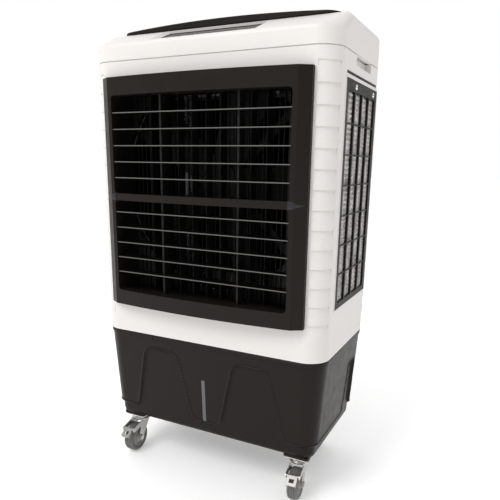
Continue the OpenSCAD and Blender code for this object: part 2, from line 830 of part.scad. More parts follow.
module float_valve() color("lightgray") placed() difference() {
    union() {
        pin_y(yb - 40, yb + inlet_reach, inlet_x, inlet_z, inlet_r);
        pin_y(yb - 40, yb - boss_len, inlet_x, inlet_z, 12);
        translate([inlet_x, yb + 4.5, inlet_z]) rotate([90, 0, 0])
            cylinder(h = 4.5, r = 14.5, $fn = 6);
        for (s = [-1, 1]) block(inlet_x + s * 5.5 - 1.5, inlet_x + s * 5.5 + 1.5, arm_y - 4,
            yb - 39, arm_z - 4, arm_z + 8);
        pin_x(inlet_x - 7, inlet_x + 7, arm_y, arm_z, 2);
    }
    pin_y(yb - 30, yb + inlet_reach + 1, inlet_x, inlet_z, 6);
}

module float_arm() color("orange") placed() difference() {
    union() {
        pin_x(inlet_x - 3.6, inlet_x + 3.6, arm_y, arm_z, 5);
        translate([inlet_x, arm_y, arm_z]) rotate([arm_drop, 0, 0])
            translate([-2, -arm_len, -2]) cube([4, arm_len, 4]);
        translate([inlet_x, arm_y, arm_z]) rotate([arm_drop, 0, 0])
            pin_x(-46, 4, -arm_len, 0, float_r);
    }
    pin_x(inlet_x - 9, inlet_x + 9, arm_y, arm_z, 2 + fit);
}

// Water tank

tank_lean = atan(tank_taper / (tank_z1 - lip_h - tank_z0 - tank_foot_h));

function tank_y(z) = yb - tank_in - (tank_z1 - lip_h - z) * tan(tank_lean);

// Tapered body of the tank, t inside its outer surface
module tank_form(t, z1) {
    w = cab_w - 2 * tank_in;
    d = cab_d - 2 * tank_in;
    r = corner_r - tank_in;
    hull() {
        translate([0, 0, tank_z1 - lip_h]) linear_extrude(z1 - tank_z1 + lip_h)
            rounded_rect(w - 2 * t, d - 2 * t, r - t, $fn = hull_fn);
        translate([0, 0, tank_z0 + tank_foot_h]) linear_extrude(0.1)
            rounded_rect(w - 2 * tank_taper - 2 * t, d - 2 * tank_taper - 2 * t, r - t,
                $fn = hull_fn);
        translate([0, 0, tank_z0 + (t > relief ? t : 0)]) linear_extrude(0.1)
            rounded_rect(w - 2 * (tank_taper + tank_foot_in + t),
                d - 2 * (tank_taper + tank_foot_in + t), r - t - tank_foot_in, $fn = hull_fn);
    }
}

// Area of the front wall below the wave line: a low band with two arches standing on it
module wave_front() {
    offset(r = -wave_r) offset(delta = wave_r) offset(r = wave_r) offset(delta = -wave_r) {
        translate([-400, tank_z0 - 60]) square([800, wave_z - tank_z0 + 60]);
        for (s = [-1, 1])
            polygon([[s * 211, 120], [s * 170, arch_z], [s * 82, arch_z], [s * 36, 120]]);
    }
}

// The same on a side wall, with one narrow arch towards the rear
module wave_side() {
    offset(r = -12) offset(delta = 12) offset(r = 12) offset(delta = -12) {
        translate([-300, tank_z0 - 60]) square([600, wave_z - tank_z0 + 60]);
        polygon([[54, 120], [68, arch_z - 36], [116, arch_z - 36], [122, 120]]);
    }
}

window_x = -5;
window_w = 11;
window_z0 = 143;
window_z1 = 257;
drain_x = -60;
drain_z = 136;
drain_r = 10;

module window_form(grow, y0, y1) {
    translate([window_x, -tank_y((window_z0 + window_z1) / 2), (window_z0 + window_z1) / 2])
        rotate([tank_lean, 0, 0]) translate([0, y1, 0]) rotate([90, 0, 0]) linear_extrude(y1 - y0)
            square([window_w + 2 * grow, window_z1 - window_z0 + 2 * grow], center = true);
}

module water_tank() color(brown_c) placed() {
    rim_in = wall + 0.5;
    difference() {
        union() {
            tank_form(relief, tank_z1);
            difference() {
                tank_form(0, tank_z1);
                upright(yf - 10, yb + 10) wave_front();
                along_x(-cab_w, cab_w) wave_side();
            }
            translate([0, 0, tank_z1 - lip_h]) linear_extrude(lip_h)
                rounded_rect(cab_w - 1, cab_d - 1, corner_r - 0.5);
            translate([0, 0, tank_z1 - 1]) linear_extrude(3)
                rounded_rect(cab_w - wall, cab_d - wall, corner_r - wall / 2);
            translate([0, 0, tank_z1]) linear_extrude(22)
                rounded_rect(cab_w - 2 * rim_in, cab_d - 2 * rim_in, corner_r - rim_in);
            pin_y(tank_y(drain_z) - 14, tank_y(drain_z) + 3, drain_x, drain_z, 16);
        }
        tank_form(relief + tank_wall, tank_z1 + 24);
        window_form(0.2, -10, 20);
        block(inlet_x - 22, inlet_x + 25, yb - 50, yb - 1, tank_z1 + 2, tank_z1 + 30);
        screw_places() pin_z(-12, 1, 0, 0, screw_r);
        pin_y(yb - 70, yb + 10, drain_x, drain_z, drain_r + fit);
    }
}

module level_window() color([0.6, 0.6, 0.6]) placed() {
    window_form(0, 1.5, 6);
    window_form(5, (relief + tank_wall) * cos(tank_lean), 11);
    window_form(-2, 5, 10);
}

module drain_plug() color(black_c) placed() {
    y = tank_y(drain_z);
    pin_y(y - 16, y + 4, drain_x, drain_z, drain_r);
    pin_y(y + 3.3, y + 12, drain_x, drain_z, 15);
    block(drain_x - 12, drain_x + 12, y + 11, y + 18, drain_z - 2.5, drain_z + 2.5);
}

// Casters. Each is drawn with its swivel axis on Z and its wheel trailing towards +X.

module at_caster(n) {
    c = casters[n];
    translate([c[0], c[1], 0]) rotate([0, 0, c[2]]) children();
}

module caster_plates() color(steel_c) placed() for (c = casters) {
    translate([c[0], c[1], 0]) {
        translate([0, 0, plate_z + 4]) linear_extrude(tank_z0 - plate_z - 4) rounded_rect(62, 62, 6);
        translate([0, 0, plate_z]) linear_extrude(4) rounded_rect(56, 56, 5);
        pin_z(plate_z - 16, plate_z, 0, 0, king_r);
        pin_z(plate_z - 17, plate_z - 14, 0, 0, 9);
    }
}

leg_in = wheel_w / 2 + 2;
leg_t = 2.5;
fork_z = plate_z - 11;

module leg_outline(ear) {
    hull() {
        translate([trail, wheel_r]) circle(9, $fn = hull_fn);
        translate([-12, fork_z - 8]) square([34, 8]);
    }
    if (ear) hull() {
        translate([trail + pedal_u, wheel_r + pedal_h]) circle(6, $fn = hull_fn);
        translate([0, fork_z - 12]) square([20, 10]);
    }
}

module fork(n) {
    ear = casters[n][1] < 0;       // only the front pair has brakes
    color(steel_c) placed() at_caster(n) {
        difference() {
            union() {
                pin_z(fork_z - 2.5, fork_z, 0, 0, 25);
                block(-12, 22, -leg_in - leg_t, leg_in + leg_t, fork_z - 2.5, fork_z);
                pin_z(fork_z, plate_z - 0.5, 0, 0, 21);
            }
            pin_z(fork_z - 5, plate_z, 0, 0, king_r + fit);
        }
        for (s = [-1, 1]) translate([0, s * (leg_in + leg_t / 2) + leg_t / 2, 0])
            rotate([90, 0, 0]) linear_extrude(leg_t) leg_outline(ear);
        pin_y(-leg_in - leg_t - 3, leg_in + leg_t + 3, trail, wheel_r, axle_r);
        for (s = [-1, 1]) translate([trail, s * (leg_in + leg_t + 2), wheel_r])
            rotate([90, 0, 0]) cylinder(h = 4, r = 7.5, center = true, $fn = 6);
        if (ear) pin_y(-leg_in - 1, leg_in + 1, trail + pedal_u, wheel_r + pedal_h, pedal_pin_r);
    }
}

module wheel(n) {
    color("gray") placed() at_caster(n) translate([trail, 0, wheel_r]) rotate([90, 0, 0])
        rotate_extrude() difference() {
            union() {
                translate([axle_r + fit, -wheel_w / 2 - 1.5]) square([8, wheel_w + 3]);
                translate([axle_r + fit, -9]) square([wheel_r - 12, 18]);
                translate([wheel_r - 12, -wheel_w / 2]) square([9, wheel_w]);
                translate([wheel_r - 10, -wheel_w / 2 + 3]) square([10, wheel_w - 6]);
                for (s = [-1, 1]) translate([wheel_r - 3, s * (wheel_w / 2 - 3)]) circle(3);
            }
            for (s = [-1, 1]) translate([wheel_r, s * 5]) circle(1.2);
        }
}

pedal_tilt = 40;
pedal_len = 24;

module pedal(n) {
    color(steel_c) placed() at_caster(n) translate([trail + pedal_u, 0, wheel_r + pedal_h])
        rotate([0, pedal_tilt, 0]) difference() {
            union() {
                pin_y(-leg_in + 0.4, leg_in - 0.4, 0, 0, 5);
                block(0, pedal_len, -12, 12, 2, 5);
                block(pedal_len - 4, pedal_len, -12, 12, -4, 5);
                for (s = [-1, 1]) block(0, pedal_len - 2, s * 11 - 1, s * 11 + 1, -1, 5);
            }
            pin_y(-20, 20, 0, 0, pedal_pin_r + fit);
            block(8, pedal_len - 7, -6, 6, 1, 6);
        }
}

// Fasteners and power inlet

screw_r = 2;

// Every screw place, with +Z pointing out of the wall
module screw_places() {
    for (s = [-1, 1]) {
        translate([s * cab_w / 2, yb - 58, cab_z0 + 14]) rotate([0, s * 90, 0]) children();
        for (z = [cab_z0 + 14, seam_z - 7])
            translate([s * 235, yb, z]) rotate([-90, 0, 0]) children();
    }
}

module cabinet_screws() color("black") placed() screw_places() {
    translate([0, 0, -10]) cylinder(h = 10.5, r = screw_r);
    difference() {
        cylinder(h = 2.5, r = 5);
        translate([-3, -0.6, 1.2]) cube([6, 1.2, 2]);
        translate([-0.6, -3, 1.2]) cube([1.2, 6, 2]);
    }
}

gland_x = -235;
gland_z = 425;
gland_r = 9;
cord_r = 3.6;

module power_inlet() color(black_c) placed() difference() {
    union() {
        pin_y(yb - 14, yb + 12, gland_x, gland_z, gland_r - 0.2);
        pin_y(yb, yb + 7, gland_x, gland_z, 12);
        translate([gland_x, yb - wall, gland_z]) rotate([90, 0, 0])
            cylinder(h = 6, r = 14, $fn = 6);
    }
    pin_y(yb - 20, yb + 20, gland_x, gland_z, cord_r);
}

water_tank();
level_window();
cabinet_shell();
top_cover();
control_panel();
front_bezel();
louvre_frame();
fan_shroud();
fan_motor();
water_pump();
water_feed();
float_valve();
caster_plates();
cabinet_screws();
power_inlet();
swing_motor();
top_door();
panel_button(88);  // power_button
panel_button(-88);  // speed_button
panel_button(-52);  // swing_button
blade(1);  // blade_1
blade(2);  // blade_2
blade(3);  // blade_3
blade(4);  // blade_4
blade(5);  // blade_5
blade(6);  // blade_6
blade(7);  // blade_7
blade(8);  // blade_8
blade(9);  // blade_9
blade(10);  // blade_10
blade_tie_bar();
vane(1);  // vane_1
vane(2);  // vane_2
vane(3);  // vane_3
vane(4);  // vane_4
vane(5);  // vane_5
vane(6);  // vane_6
vane(7);  // vane_7
vane(8);  // vane_8
vane(9);  // vane_9
vane_link();
fan();
left_grille();
right_grille();
rear_grille();
left_pad();
right_pad();
rear_pad();
fork(0);  // fork_front_left
fork(1);  // fork_front_right
fork(2);  // fork_rear_left
fork(3);  // fork_rear_right
wheel(0);  // wheel_front_left
wheel(1);  // wheel_front_right
wheel(2);  // wheel_rear_left
wheel(3);  // wheel_rear_right
pedal(0);  // pedal_left
pedal(1);  // pedal_right
drain_plug();
float_arm();
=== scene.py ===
"""Looks of the evaporative cooler: a wave-relief tank skin, corrugated wet pads, tyres and hubs,
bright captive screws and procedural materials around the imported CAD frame."""

import json
import math

import bpy
import numpy as np
from mathutils import Matrix, Vector

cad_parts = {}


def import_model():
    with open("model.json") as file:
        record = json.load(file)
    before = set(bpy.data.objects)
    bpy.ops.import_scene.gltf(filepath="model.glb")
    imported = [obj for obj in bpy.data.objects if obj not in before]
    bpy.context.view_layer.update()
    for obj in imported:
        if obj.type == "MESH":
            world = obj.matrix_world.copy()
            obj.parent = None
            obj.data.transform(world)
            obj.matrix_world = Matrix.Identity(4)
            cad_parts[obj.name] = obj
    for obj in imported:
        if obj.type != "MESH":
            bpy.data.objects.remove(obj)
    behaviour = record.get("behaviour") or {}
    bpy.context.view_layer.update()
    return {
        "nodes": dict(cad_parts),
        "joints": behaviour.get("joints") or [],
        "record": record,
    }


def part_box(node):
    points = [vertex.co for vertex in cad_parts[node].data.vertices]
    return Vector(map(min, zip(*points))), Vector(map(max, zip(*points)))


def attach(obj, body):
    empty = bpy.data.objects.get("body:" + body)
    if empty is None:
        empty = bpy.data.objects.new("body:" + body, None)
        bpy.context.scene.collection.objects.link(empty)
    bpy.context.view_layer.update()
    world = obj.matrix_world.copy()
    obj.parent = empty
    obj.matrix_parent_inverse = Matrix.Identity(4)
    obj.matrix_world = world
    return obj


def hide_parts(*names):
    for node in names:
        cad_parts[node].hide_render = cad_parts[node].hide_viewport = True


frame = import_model()

MM = 0.001
NODES = frame["nodes"]
JOINTS = {j["name"]: j for j in frame["joints"]}
SLOTS = {s["node"]: s["material_slot"] for s in frame["record"]["subparts"]}
CORNERS = ("front_left", "front_right", "rear_left", "rear_right")


# Materials

def new_material(name):
    mat = bpy.data.materials.new(name)
    mat.use_nodes = True
    tree = mat.node_tree
    return mat, tree, tree.nodes["Principled BSDF"]


def link(tree, a, b):
    tree.links.new(a, b)


def noise(tree, coord, scale, detail=3.0):
    node = tree.nodes.new("ShaderNodeTexNoise")
    node.inputs["Scale"].default_value = scale
    node.inputs["Detail"].default_value = detail
    node.inputs["Roughness"].default_value = 0.55
    link(tree, coord, node.inputs["Vector"])
    return node.outputs["Fac"]


def remap(tree, value, low, high, from_low=0.3, from_high=0.7):
    node = tree.nodes.new("ShaderNodeMapRange")
    node.inputs["From Min"].default_value = from_low
    node.inputs["From Max"].default_value = from_high
    node.inputs["To Min"].default_value = low
    node.inputs["To Max"].default_value = high
    link(tree, value, node.inputs["Value"])
    return node.outputs["Result"]


def mix_colour(tree, factor, first, second):
    node = tree.nodes.new("ShaderNodeMix")
    node.data_type = "RGBA"
    node.inputs["A"].default_value = (*first, 1.0)
    node.inputs["B"].default_value = (*second, 1.0)
    link(tree, factor, node.inputs["Factor"])
    return node.outputs["Result"]


def bump(tree, bsdf, height, strength, distance):
    node = tree.nodes.new("ShaderNodeBump")
    node.inputs["Strength"].default_value = strength
    node.inputs["Distance"].default_value = distance
    link(tree, height, node.inputs["Height"])
    link(tree, node.outputs["Normal"], bsdf.inputs["Normal"])


def shade(colour, factor):
    return tuple(min(1.0, c * factor) for c in colour)


def moulded(name, colour, rough=(0.38, 0.52), vary=0.05, grain=900.0, depth=0.05, metallic=0.0,
            shine=0.5):
    """Moulded plastic, paint or plated metal: slow colour drift, uneven gloss and a fine grain."""
    mat, tree, bsdf = new_material(name)
    coord = tree.nodes.new("ShaderNodeTexCoord").outputs["Object"]
    drift = noise(tree, coord, 7.0)
    link(tree, mix_colour(tree, drift, shade(colour, 1 - vary), shade(colour, 1 + vary)),
         bsdf.inputs["Base Color"])
    link(tree, remap(tree, noise(tree, coord, 38.0, 4.0), *rough), bsdf.inputs["Roughness"])
    bump(tree, bsdf, noise(tree, coord, grain, 2.0), 0.25, depth * MM)
    bsdf.inputs["Metallic"].default_value = metallic
    bsdf.inputs["Specular IOR Level"].default_value = shine
    return mat


def highlight_edged(name):
    """Black louvre blades with a painted highlight: the rounded front edge is coloured lighter."""
    mat, tree, bsdf = new_material(name)
    coord = tree.nodes.new("ShaderNodeTexCoord").outputs["Object"]
    split = tree.nodes.new("ShaderNodeSeparateXYZ")
    link(tree, coord, split.inputs[0])
    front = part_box("blade_1")[0].y
    # painted highlight: the front 0.3 to 0.9 mm of each blade is coloured light grey
    edge = remap(tree, split.outputs["Y"], 1.0, 0.0, front + 0.3 * MM, front + 0.9 * MM)
    link(tree, mix_colour(tree, edge, (0.003, 0.0027, 0.0025), (0.155, 0.151, 0.147)),
         bsdf.inputs["Base Color"])
    link(tree, remap(tree, noise(tree, coord, 38.0), 0.45, 0.6), bsdf.inputs["Roughness"])
    bump(tree, bsdf, noise(tree, coord, 900.0, 2.0), 0.2, 0.04 * MM)
    bsdf.inputs["Specular IOR Level"].default_value = 0.1
    return mat


def pad_paper(name):
    """Wetted cellulose paper: fibres and streaks of mineral bloom."""
    mat, tree, bsdf = new_material(name)
    coord = tree.nodes.new("ShaderNodeTexCoord").outputs["Object"]
    stretch = tree.nodes.new("ShaderNodeMapping")
    stretch.inputs["Scale"].default_value = (1.0, 1.0, 0.3)
    link(tree, coord, stretch.inputs["Vector"])
    streaks = remap(tree, noise(tree, stretch.outputs["Vector"], 75.0, 3.0), 0.0, 1.0, 0.36, 0.64)
    link(tree, mix_colour(tree, streaks, (0.56, 0.52, 0.50), (1.0, 0.985, 0.965)),
         bsdf.inputs["Base Color"])
    bsdf.inputs["Roughness"].default_value = 0.85
    bump(tree, bsdf, noise(tree, coord, 1400.0, 2.0), 0.4, 0.1 * MM)
    return mat


def window_plastic(name):
    mat, tree, bsdf = new_material(name)
    coord = tree.nodes.new("ShaderNodeTexCoord").outputs["Object"]
    link(tree, mix_colour(tree, noise(tree, coord, 25.0), (0.09, 0.089, 0.089), (0.125, 0.124, 0.124)),
         bsdf.inputs["Base Color"])
    link(tree, remap(tree, noise(tree, coord, 50.0), 0.12, 0.2), bsdf.inputs["Roughness"])
    return mat


MATS = {
    "white_plastic": moulded("white_plastic_mat", (0.755, 0.725, 0.70), (0.36, 0.46), 0.012,
                             shine=0.35),
    "black_plastic": moulded("black_plastic_mat", (0.0075, 0.0062, 0.0055), (0.42, 0.54), shine=0.17),
    "brown_plastic": moulded("brown_plastic_mat", (0.0125, 0.0092, 0.0075), (0.3, 0.4), shine=0.14),
    # near-black for parts inside the cabinet and for screw slots, in part painted shade
    "inner_black": moulded("inner_black_mat", (0.010, 0.0092, 0.0086), (0.45, 0.6), shine=0.2),
    "louvre_blade": highlight_edged("louvre_blade_mat"),
    "silver_plastic": moulded("silver_plastic_mat", (0.105, 0.096, 0.09), (0.25, 0.36), shine=0.35),
    "button_plastic": moulded("button_plastic_mat", (0.06, 0.055, 0.055), (0.3, 0.42)),
    "display": moulded("display_mat", (0.012, 0.012, 0.013), (0.1, 0.16), 0.02, depth=0.0),
    "grey_window": window_plastic("grey_window_mat"),
    "pad_paper": pad_paper("pad_paper_mat"),
    "zinc": moulded("zinc_mat", (0.62, 0.61, 0.58), (0.2, 0.34), 0.08, 300.0, 0.05, 1.0),
    # a darker copy of the zinc for the brake pedals: painted shade of the pedal's grooves
    "pedal_zinc_painted_shade": moulded("pedal_steel_mat", (0.30, 0.29, 0.28), (0.26, 0.4), 0.08, 300.0, 0.05,
                           1.0),
    # the motor's steel is drawn near-black and dull: painted shade of the enclosed interior
    "motor_steel": moulded("motor_steel_mat", (0.022, 0.022, 0.023), (0.5, 0.65), shine=0.1),
    "caster_rubber": moulded("caster_rubber_mat", (0.15, 0.146, 0.142), (0.5, 0.68), 0.1, 600.0,
                             0.1),
    "feed_plastic": moulded("feed_plastic_mat", (0.60, 0.61, 0.62), (0.3, 0.42)),
    "float_plastic": moulded("float_plastic_mat", (0.62, 0.14, 0.03), (0.3, 0.42)),
    "screw_steel": moulded("screw_steel_mat", (0.9, 0.89, 0.87), (0.15, 0.25), 0.05, 300.0, 0.03,
                           1.0),
    "hub": moulded("hub_mat", (0.62, 0.58, 0.50), (0.35, 0.5), 0.05),
    "wheel_grey": moulded("wheel_grey_mat", (0.30, 0.292, 0.28), (0.42, 0.55), 0.06),
    "divider_tip": moulded("divider_tip_mat", (0.018, 0.018, 0.021), (0.35, 0.45), shine=0.3),
    "dust_net": moulded("dust_net_mat", (0.004, 0.004, 0.004), (0.8, 0.9), 0.05, 2500.0, 0.2,
                        shine=0.05),
}

# parts inside the cabinet all take near-black over their own slots: partly their dark plastic, partly
# painted shade of the enclosed interior
INNER = ("louvre_frame", "fan_shroud", "fan", "vane_", "blade_tie_bar")
LOOKS = {"blade_%d" % n: "louvre_blade" for n in range(1, 11)}
LOOKS["pedal_left"] = LOOKS["pedal_right"] = "pedal_zinc_painted_shade"
SOFTENED = {"front_bezel": 0.8, "cabinet_shell": 0.4, "top_door": 0.8, "right_grille": 0.5,
            "left_grille": 0.5, "rear_grille": 0.5, "power_button": 0.7, "speed_button": 0.7,
            "swing_button": 0.7, "drain_plug": 0.8}

for node, obj in NODES.items():
    inside = any(node.startswith(name) for name in INNER)
    obj.data.materials.clear()
    look = "inner_black" if inside else LOOKS.get(node, SLOTS[node])
    obj.data.materials.append(MATS[look])
    if node in SOFTENED:
        soft = obj.modifiers.new("soft_edges", "BEVEL")
        soft.width = SOFTENED[node] * MM
        soft.segments = 2
        soft.limit_method = "ANGLE"
        soft.angle_limit = math.radians(50)
        soft.harden_normals = False


# Mesh helpers

def mesh_object(name, verts, faces, mat, body, smooth=True):
    data = bpy.data.meshes.new(name)
    data.from_pydata([tuple(v) for v in verts], [], faces)
    data.materials.append(mat)
    data.validate()
    obj = bpy.data.objects.new(name, data)
    bpy.context.scene.collection.objects.link(obj)
    if smooth:
        data.shade_smooth()
        data.set_sharp_from_angle(angle=math.radians(38))
    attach(obj, body)
    return obj


def quads(rows, columns):
    """Faces between rows of points, each row closed into a ring."""
    return [(r * columns + c, r * columns + (c + 1) % columns,
             (r + 1) * columns + (c + 1) % columns, (r + 1) * columns + c)
            for r in range(rows - 1) for c in range(columns)]


def slab(name, low, high, mat, body):
    """Rectangular sheet or strip between two corners, in metres."""
    verts = [(x, y, z) for z in (low[2], high[2])
             for x, y in ((low[0], low[1]), (high[0], low[1]), (high[0], high[1]), (low[0], high[1]))]
    faces = quads(2, 4) + [(3, 2, 1, 0), (4, 5, 6, 7)]
    return mesh_object(name, verts, faces, mat, body, smooth=False)


def revolve(profile, place, segments=64):
    """Turns a closed outline of (radius, height) about Z, then puts it in place."""
    verts, count = [], len(profile)
    for s in range(segments):
        a = 2 * math.pi * s / segments
        verts += [place @ Vector((r * math.cos(a), r * math.sin(a), h)) for r, h in profile]
    faces = []
    for s in range(segments):
        t = (s + 1) % segments
        faces += [(s * count + i, t * count + i, t * count + (i + 1) % count,
                   s * count + (i + 1) % count) for i in range(count)]
    return verts, faces


def rounded(corners):
    """Outline from (x, y, radius) corners, each radius drawn as an arc."""
    out = []
    n = len(corners)
    for i, (x, y, r) in enumerate(corners):
        p = Vector((x, y))
        a = (Vector(corners[i - 1][:2]) - p).normalized()
        b = (Vector(corners[(i + 1) % n][:2]) - p).normalized()
        if r <= 0:
            out.append(p)
            continue
        half = math.acos(max(-1, min(1, a.dot(b)))) / 2
        centre = p + (a + b).normalized() * (r / math.sin(half))
        start = p + a * (r / math.tan(half)) - centre
        end = p + b * (r / math.tan(half)) - centre
        sweep = math.atan2(start.x * end.y - start.y * end.x, start.dot(end))
        for k in range(9):
            t = sweep * k / 8
            out.append(centre + Vector((start.x * math.cos(t) - start.y * math.sin(t),
                                        start.x * math.sin(t) + start.y * math.cos(t))))
    return [tuple(p) for p in out]


def place_at(origin, axis):
    """Matrix that puts local Z along axis and the local origin at origin."""
    turn = Vector(axis).to_track_quat("Z", "Y").to_matrix().to_4x4()
    return Matrix.Translation(Vector(origin)) @ turn


# Water tank skin, in millimetres, in the CAD's own sizes

T_LOW, T_HIGH = [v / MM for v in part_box("water_tank")]
C_LOW, C_HIGH = [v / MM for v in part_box("cabinet_shell")]
MID_Y = (T_LOW.y + T_HIGH.y) / 2
TANK_HW = 297.0
TANK_HD = 172.0
TANK_R = 47.0
TANK_TAPER = 15.0
TANK_TOP = 352.0
LIP_H = 10.0
TANK_Z0 = T_LOW.z
FOOT_H = 10.0
RELIEF = 5.0        # depth of the wave below the wall
RIDGE = 2.0         # height of the bead that follows the wave
RIDGE_OUT = 1.4     # the bead's distance from the soft edge
RIDGE_WIDTH = 1.7
SOFT = 4.6          # width of the soft edge
BEYOND = 500        # well outside the tank
WAVE_Z = 141.0
ARCH_Z = 314.0
WINDOW_X = (-10.6, 0.6)
WINDOW_Z = (143.0, 257.0)
WINDOW_DEPTH = 8.0
NEAR = 0.01         # slack when a point is matched to the window's edge


def distance_to(outline, x, y):
    """Distance from each point to a closed outline, negative inside it."""
    best = np.full(x.shape, 1e9)
    inside = np.zeros(x.shape, bool)
    for i, (ax, ay) in enumerate(outline):
        bx, by = outline[(i + 1) % len(outline)]
        dx, dy = bx - ax, by - ay
        size = dx * dx + dy * dy
        if size < 1e-9:
            continue
        t = np.clip(((x - ax) * dx + (y - ay) * dy) / size, 0, 1)
        best = np.minimum(best, np.hypot(x - ax - t * dx, y - ay - t * dy))
        crosses = (ay > y) != (by > y)
        inside ^= crosses & (x < (bx - ax) * (y - ay) / (by - ay if by != ay else 1e-9) + ax)
    return np.where(inside, -best, best)


def wave_outline():
    right = [(206.6, WAVE_Z, 22), (170, ARCH_Z, 24), (82, ARCH_Z, 24), (41, WAVE_Z, 26)]
    left = [(-x, z, r) for x, z, r in reversed(right)]
    return rounded([(-BEYOND, 0, 0), (BEYOND, 0, 0), (BEYOND, WAVE_Z, 0)] + right + left +
                   [(-BEYOND, WAVE_Z, 0)])


def side_outline():
    side_z = ARCH_Z - 36
    return rounded([(-BEYOND, 0, 0), (BEYOND, 0, 0), (BEYOND, WAVE_Z, 0), (121, WAVE_Z, 12),
                    (116, side_z, 14), (68, side_z, 14), (56, WAVE_Z, 12), (-BEYOND, WAVE_Z, 0)])


def tank_ring(spacing):
    """Points round the tank as (corner x, corner y, outward x, outward y)."""
    cx, cy = TANK_HW - TANK_R, TANK_HD - TANK_R
    flat_x = sorted(set(np.round(np.linspace(-cx, cx, int(2 * cx / spacing)), 3)) | set(WINDOW_X))
    flat_y = np.linspace(-cy, cy, int(2 * cy / spacing))
    arc = [math.radians(a) for a in np.linspace(0, 90, 19)][1:-1]
    pts = [(x, -cy, 0, -1) for x in flat_x]
    pts += [(cx, -cy, math.sin(a), -math.cos(a)) for a in arc]
    pts += [(cx, y, 1, 0) for y in flat_y]
    pts += [(cx, cy, math.cos(a), math.sin(a)) for a in arc]
    pts += [(x, cy, 0, 1) for x in reversed(flat_x)]
    pts += [(-cx, cy, -math.sin(a), math.cos(a)) for a in arc]
    pts += [(-cx, y, -1, 0) for y in reversed(flat_y)]
    pts += [(-cx, -cy, -math.cos(a), -math.sin(a)) for a in arc]
    return np.array(pts)


def tank_levels():
    """Heights and insets of the outer wall from the floor of the tank up to the lip."""
    foot = TANK_Z0 + FOOT_H
    out = [(TANK_Z0, TANK_TAPER + 7), (TANK_Z0 + 1, TANK_TAPER + 4.2),
           (TANK_Z0 + 4, TANK_TAPER + 1.6)]
    body = sorted(set(np.round(np.linspace(foot, TANK_TOP - LIP_H, 104), 3)) | set(WINDOW_Z))
    out += [(z, TANK_TAPER * (TANK_TOP - LIP_H - z) / (TANK_TOP - LIP_H - foot)) for z in body]
    return out


def wave_depth(ring, z, front, sides):
    """How far the wall is set back at height z; the bead beside the wave counts as negative."""
    height = np.full(len(ring), z)
    x = ring[:, 0] + ring[:, 2] * TANK_R
    y = ring[:, 1] + ring[:, 3] * TANK_R
    on_front = np.abs(ring[:, 3]) > 0.5
    d = np.where(on_front, distance_to(front, x, height), distance_to(sides, y, height))
    t = np.clip((SOFT / 2 - d) / SOFT, 0, 1)
    depth = RELIEF * t * t * (3 - 2 * t)
    return depth - RIDGE * np.exp(-((d - SOFT / 2 - RIDGE_OUT) / RIDGE_WIDTH) ** 2)


def starts_in(value, edges):
    return edges[0] - NEAR <= value < edges[1] - NEAR


def tank_skin():
    """Outer wall, lip and inner wall in one closed mesh, with a slot for the level window."""
    ring = tank_ring(2.2)
    n = len(ring)
    front, sides = wave_outline(), side_outline()
    levels = tank_levels()
    lip_z = TANK_TOP - LIP_H
    rows = []

    def level(z, inset, depth=0.0):
        reach = TANK_R - inset - depth
        rows.append(np.stack([ring[:, 0] + ring[:, 2] * reach,
                              ring[:, 1] + ring[:, 3] * reach + MID_Y, np.full(n, z)], 1))

    for z, inset in levels:
        level(z, inset, wave_depth(ring, z, front, sides))
    for z, inset in [(lip_z + 0.2, -0.6), (lip_z + 1.2, -2.2), (TANK_TOP - 1.2, -2.5),
                     (TANK_TOP, -1.6), (TANK_TOP, -1.0), (TANK_TOP + 2, -1.0), (TANK_TOP + 2, 1.5),
                     (TANK_TOP + 22, 1.5), (TANK_TOP + 22, 9.0), (lip_z, 9.0),
                     (TANK_Z0 + 14, TANK_TAPER + 9), (TANK_Z0 + 9, TANK_TAPER + 16)]:
        level(z, inset)
    verts = np.concatenate(rows) * MM
    slot = [c for c in range(n) if ring[c, 3] == -1 and starts_in(ring[c, 0], WINDOW_X)]
    cut = [r for r in range(len(levels) - 1) if starts_in(levels[r][0], WINDOW_Z)]
    faces = []
    for r in range(len(rows) - 1):
        for c in range(n):
            if r in cut and c in slot:
                continue
            d = (c + 1) % n
            faces.append((r * n + c, r * n + d, (r + 1) * n + d, (r + 1) * n + c))
    faces.append(tuple(range(n - 1, -1, -1)))
    faces.append(tuple(range((len(rows) - 1) * n, len(rows) * n)))
    # jambs of the window slot
    verts = list(map(tuple, verts))
    r0, r1 = cut[0], cut[-1] + 1
    c0, c1 = slot[0], slot[-1] + 1
    rim = [r0 * n + c for c in range(c0, c1)]
    rim += [r * n + c1 for r in range(r0, r1)]
    rim += [r1 * n + c for c in range(c1, c0, -1)]
    rim += [r * n + c0 for r in range(r1, r0, -1)]
    start = len(verts)
    verts += [(verts[i][0], verts[i][1] + WINDOW_DEPTH * MM, verts[i][2]) for i in rim]
    m = len(rim)
    faces += [(rim[i], start + i, start + (i + 1) % m, rim[(i + 1) % m]) for i in range(m)]
    obj = mesh_object("tank_skin", verts, faces, MATS["brown_plastic"], "cabinet")
    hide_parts("water_tank")


tank_skin()


# Wet pads: corrugated sheets glued at alternating slants

